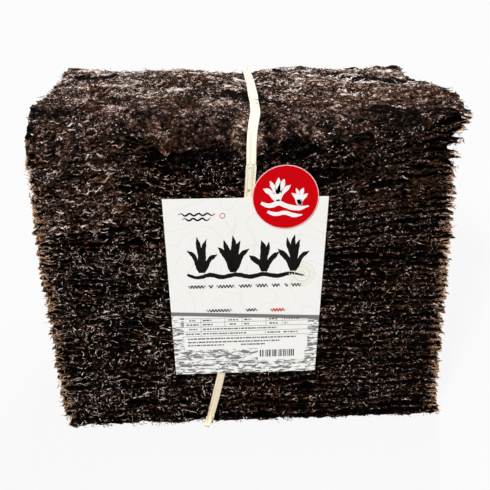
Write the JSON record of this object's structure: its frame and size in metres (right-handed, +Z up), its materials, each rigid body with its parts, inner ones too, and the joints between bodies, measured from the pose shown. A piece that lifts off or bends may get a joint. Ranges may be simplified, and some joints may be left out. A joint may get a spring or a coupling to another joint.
{
  "type": "tied bundle of dried seaweed sheets",
  "caption": "Block of rough dried seaweed sheets lying flat on each other, bound by one straw tie, with a paper label and a round red sticker on the front.",
  "frame": {"origin": "on the surface that the bundle lies on, under the middle of its whole box", "axes": "+Z up; +X along the sheets' long side, to the right seen from the labelled front; +Y away from the labelled front"},
  "size_m": [0.2802, 0.202, 0.224],
  "materials": {
    "nori": "rough pressed dried seaweed, nearly black brown, with small glossy glints on its crinkles",
    "straw": "flat strip of pale dried straw, matt, with fine creases along its length",
    "paper": "matt off-white label paper",
    "sticker": "round red sticker, satin coated paper"
  },
  "bodies": {
    "root": {"sheets_01": "nori", "sheets_02": "nori", "sheets_03": "nori", "sheets_04": "nori", "sheets_05": "nori", "sheets_06": "nori", "sheets_07": "nori", "sheets_08": "nori", "sheets_09": "nori", "sheets_10": "nori", "sheets_11": "nori", "sheets_12": "nori", "sheets_13": "nori", "sheets_14": "nori", "sheets_15": "nori", "sheets_16": "nori", "sheets_17": "nori", "sheets_18": "nori", "sheets_19": "nori", "sheets_20": "nori", "sheets_21": "nori", "sheets_22": "nori", "sheets_23": "nori", "sheets_24": "nori", "sheets_25": "nori", "sheets_26": "nori", "sheets_27": "nori", "sheets_28": "nori", "sheets_29": "nori", "sheets_30": "nori", "sheets_31": "nori", "sheets_32": "nori", "sheets_33": "nori", "sheets_34": "nori", "sheets_35": "nori", "sheets_36": "nori", "sheets_37": "nori", "sheets_38": "nori", "sheets_39": "nori", "sheets_40": "nori", "sheets_41": "nori", "sheets_42": "nori", "sheets_43": "nori", "sheets_44": "nori", "sheets_45": "nori", "sheets_46": "nori", "sheets_47": "nori", "sheets_48": "nori", "sheets_49": "nori", "sheets_50": "nori", "straw_tie": "straw", "paper_label": "paper", "round_sticker": "sticker"}
  },
  "joints": []
}
